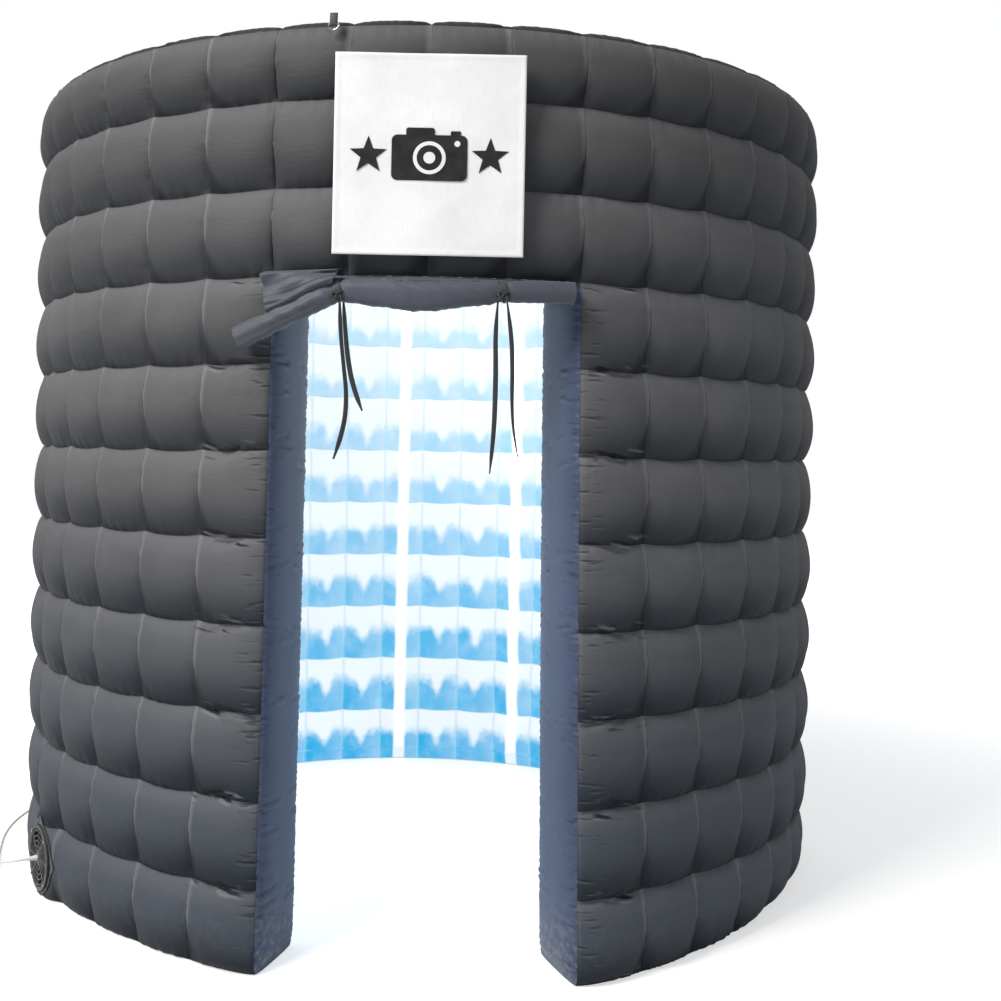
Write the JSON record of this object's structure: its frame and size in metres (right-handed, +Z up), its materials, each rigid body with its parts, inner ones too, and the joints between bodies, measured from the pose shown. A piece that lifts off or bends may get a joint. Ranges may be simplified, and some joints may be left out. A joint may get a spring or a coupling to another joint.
{
  "type": "inflatable photo booth",
  "caption": "Round inflatable photo booth: quilted air wall with a lit white lining, a doorway, a rolled-up door curtain, a blank sign over the door and a built-in blower.",
  "frame": {"origin": "on the floor at the booth's upright axis", "axes": "+Z up, the doorway faces -Y, +X to the right of someone facing the doorway"},
  "size_m": [2.6047, 2.55, 2.34],
  "materials": {
    "wall_fabric": "matte coated weave",
    "lining_fabric": "matte white",
    "jamb_fabric": "matte coated weave",
    "tether_fabric": "plain weave",
    "led_silicone": "translucent, lit",
    "black_cable": "satin",
    "black_plastic": "fine texture",
    "white_cable": "satin",
    "white_plastic": "satin",
    "banner_fabric": "smooth",
    "black_webbing": "ribbed",
    "curtain_fabric": "matte",
    "steel": "bright zinc plate",
    "brass": "bright",
    "board": "solder mask",
    "motor_metal": "cast"
  },
  "bodies": {
    "booth": {"outer_skin_front_right": "wall_fabric", "outer_skin_back_right": "wall_fabric", "outer_skin_back_left": "wall_fabric", "outer_skin_front_left": "wall_fabric", "inner_skin_front_right": "lining_fabric", "inner_skin_back_right": "lining_fabric", "inner_skin_back_left": "lining_fabric", "inner_skin_front_left": "lining_fabric", "lintel_outer_skin": "wall_fabric", "lintel_inner_skin": "lining_fabric", "lintel_underside": "jamb_fabric", "jamb_right": "jamb_fabric", "jamb_left": "jamb_fabric", "top_cap": "wall_fabric", "base_panel": "wall_fabric", "column_tethers": "tether_fabric", "row_tethers": "tether_fabric", "led_strips_front_right": "led_silicone", "led_strips_back_right": "led_silicone", "led_strips_back_left": "led_silicone", "led_strips_front_left": "led_silicone", "led_harness": "black_cable", "led_controller_case": "white_plastic", "led_controller_board": "board", "banner_loop_strips": "black_webbing", "door_curtain_roll": "curtain_fabric", "curtain_header": "curtain_fabric", "tie_wraps": "black_webbing", "tie_tape_left_long": "black_webbing", "tie_tape_left_short": "black_webbing", "tie_tape_right_long": "black_webbing", "tie_tape_right_short": "black_webbing", "blower_collar": "wall_fabric", "blower_housing": "black_plastic", "blower_guard": "black_plastic", "blower_screws": "steel", "blower_motor": "motor_metal", "blower_struts": "black_plastic", "check_flap_pin": "steel", "power_lead": "white_cable", "power_lead_coil": "white_cable", "power_lead_tail": "white_cable", "power_plug": "white_plastic", "power_plug_pins": "brass", "power_lead_gland": "white_cable", "deflation_zip": "black_webbing", "zip_cover_seam": "wall_fabric", "anchor_tabs": "black_webbing"},
    "banner_sheet": {"banner": "banner_fabric"},
    "impeller": {"blower_impeller": "black_plastic"},
    "air_flap": {"check_flap": "black_plastic"},
    "controller_button": {"led_controller_button": "white_plastic"},
    "slider": {"zip_slider": "steel"},
    "cover": {"zip_cover": "wall_fabric"},
    "front_ring": {"anchor_ring_front": "steel"},
    "back_ring": {"anchor_ring_back": "steel"}
  },
  "joints": [
    {"name": "banner_peel", "type": "slide", "parent": "booth", "child": "banner_sheet", "axis": [0, -1, 0], "range_m": [0, 0.15]},
    {"name": "impeller_spin", "type": "hinge", "parent": "booth", "child": "impeller", "pos_m": [-1.01038, -0.61916, 0.105], "axis": [-0.8526, -0.5225, 0], "continuous": true},
    {"name": "air_flap_hinge", "type": "hinge", "parent": "booth", "child": "air_flap", "pos_m": [-0.95061, -0.58253, 0.191], "axis": [0.5225, -0.8526, 0], "range_deg": [0, 40]},
    {"name": "controller_press", "type": "slide", "parent": "booth", "child": "controller_button", "axis": [-0.454, -0.891, 0], "range_m": [0, 0.0015], "stiffness_N_per_m": 400},
    {"name": "zip_run", "type": "slide", "parent": "booth", "child": "slider", "axis": [0, 0, 1], "range_m": [0, 0.48]},
    {"name": "cover_hinge", "type": "hinge", "parent": "booth", "child": "cover", "pos_m": [0.13375, 1.25337, 0], "axis": [0, 0, -1], "range_deg": [0, 120]},
    {"name": "front_ring_swing", "type": "hinge", "parent": "booth", "child": "front_ring", "pos_m": [-0.23516, -1.23277, 2.302], "axis": [-0.9823, 0.1874, 0], "range_deg": [0, 120]},
    {"name": "back_ring_swing", "type": "hinge", "parent": "booth", "child": "back_ring", "pos_m": [0.23516, 1.23277, 2.302], "axis": [0.9823, -0.1874, 0], "range_deg": [0, 120]}
  ]
}
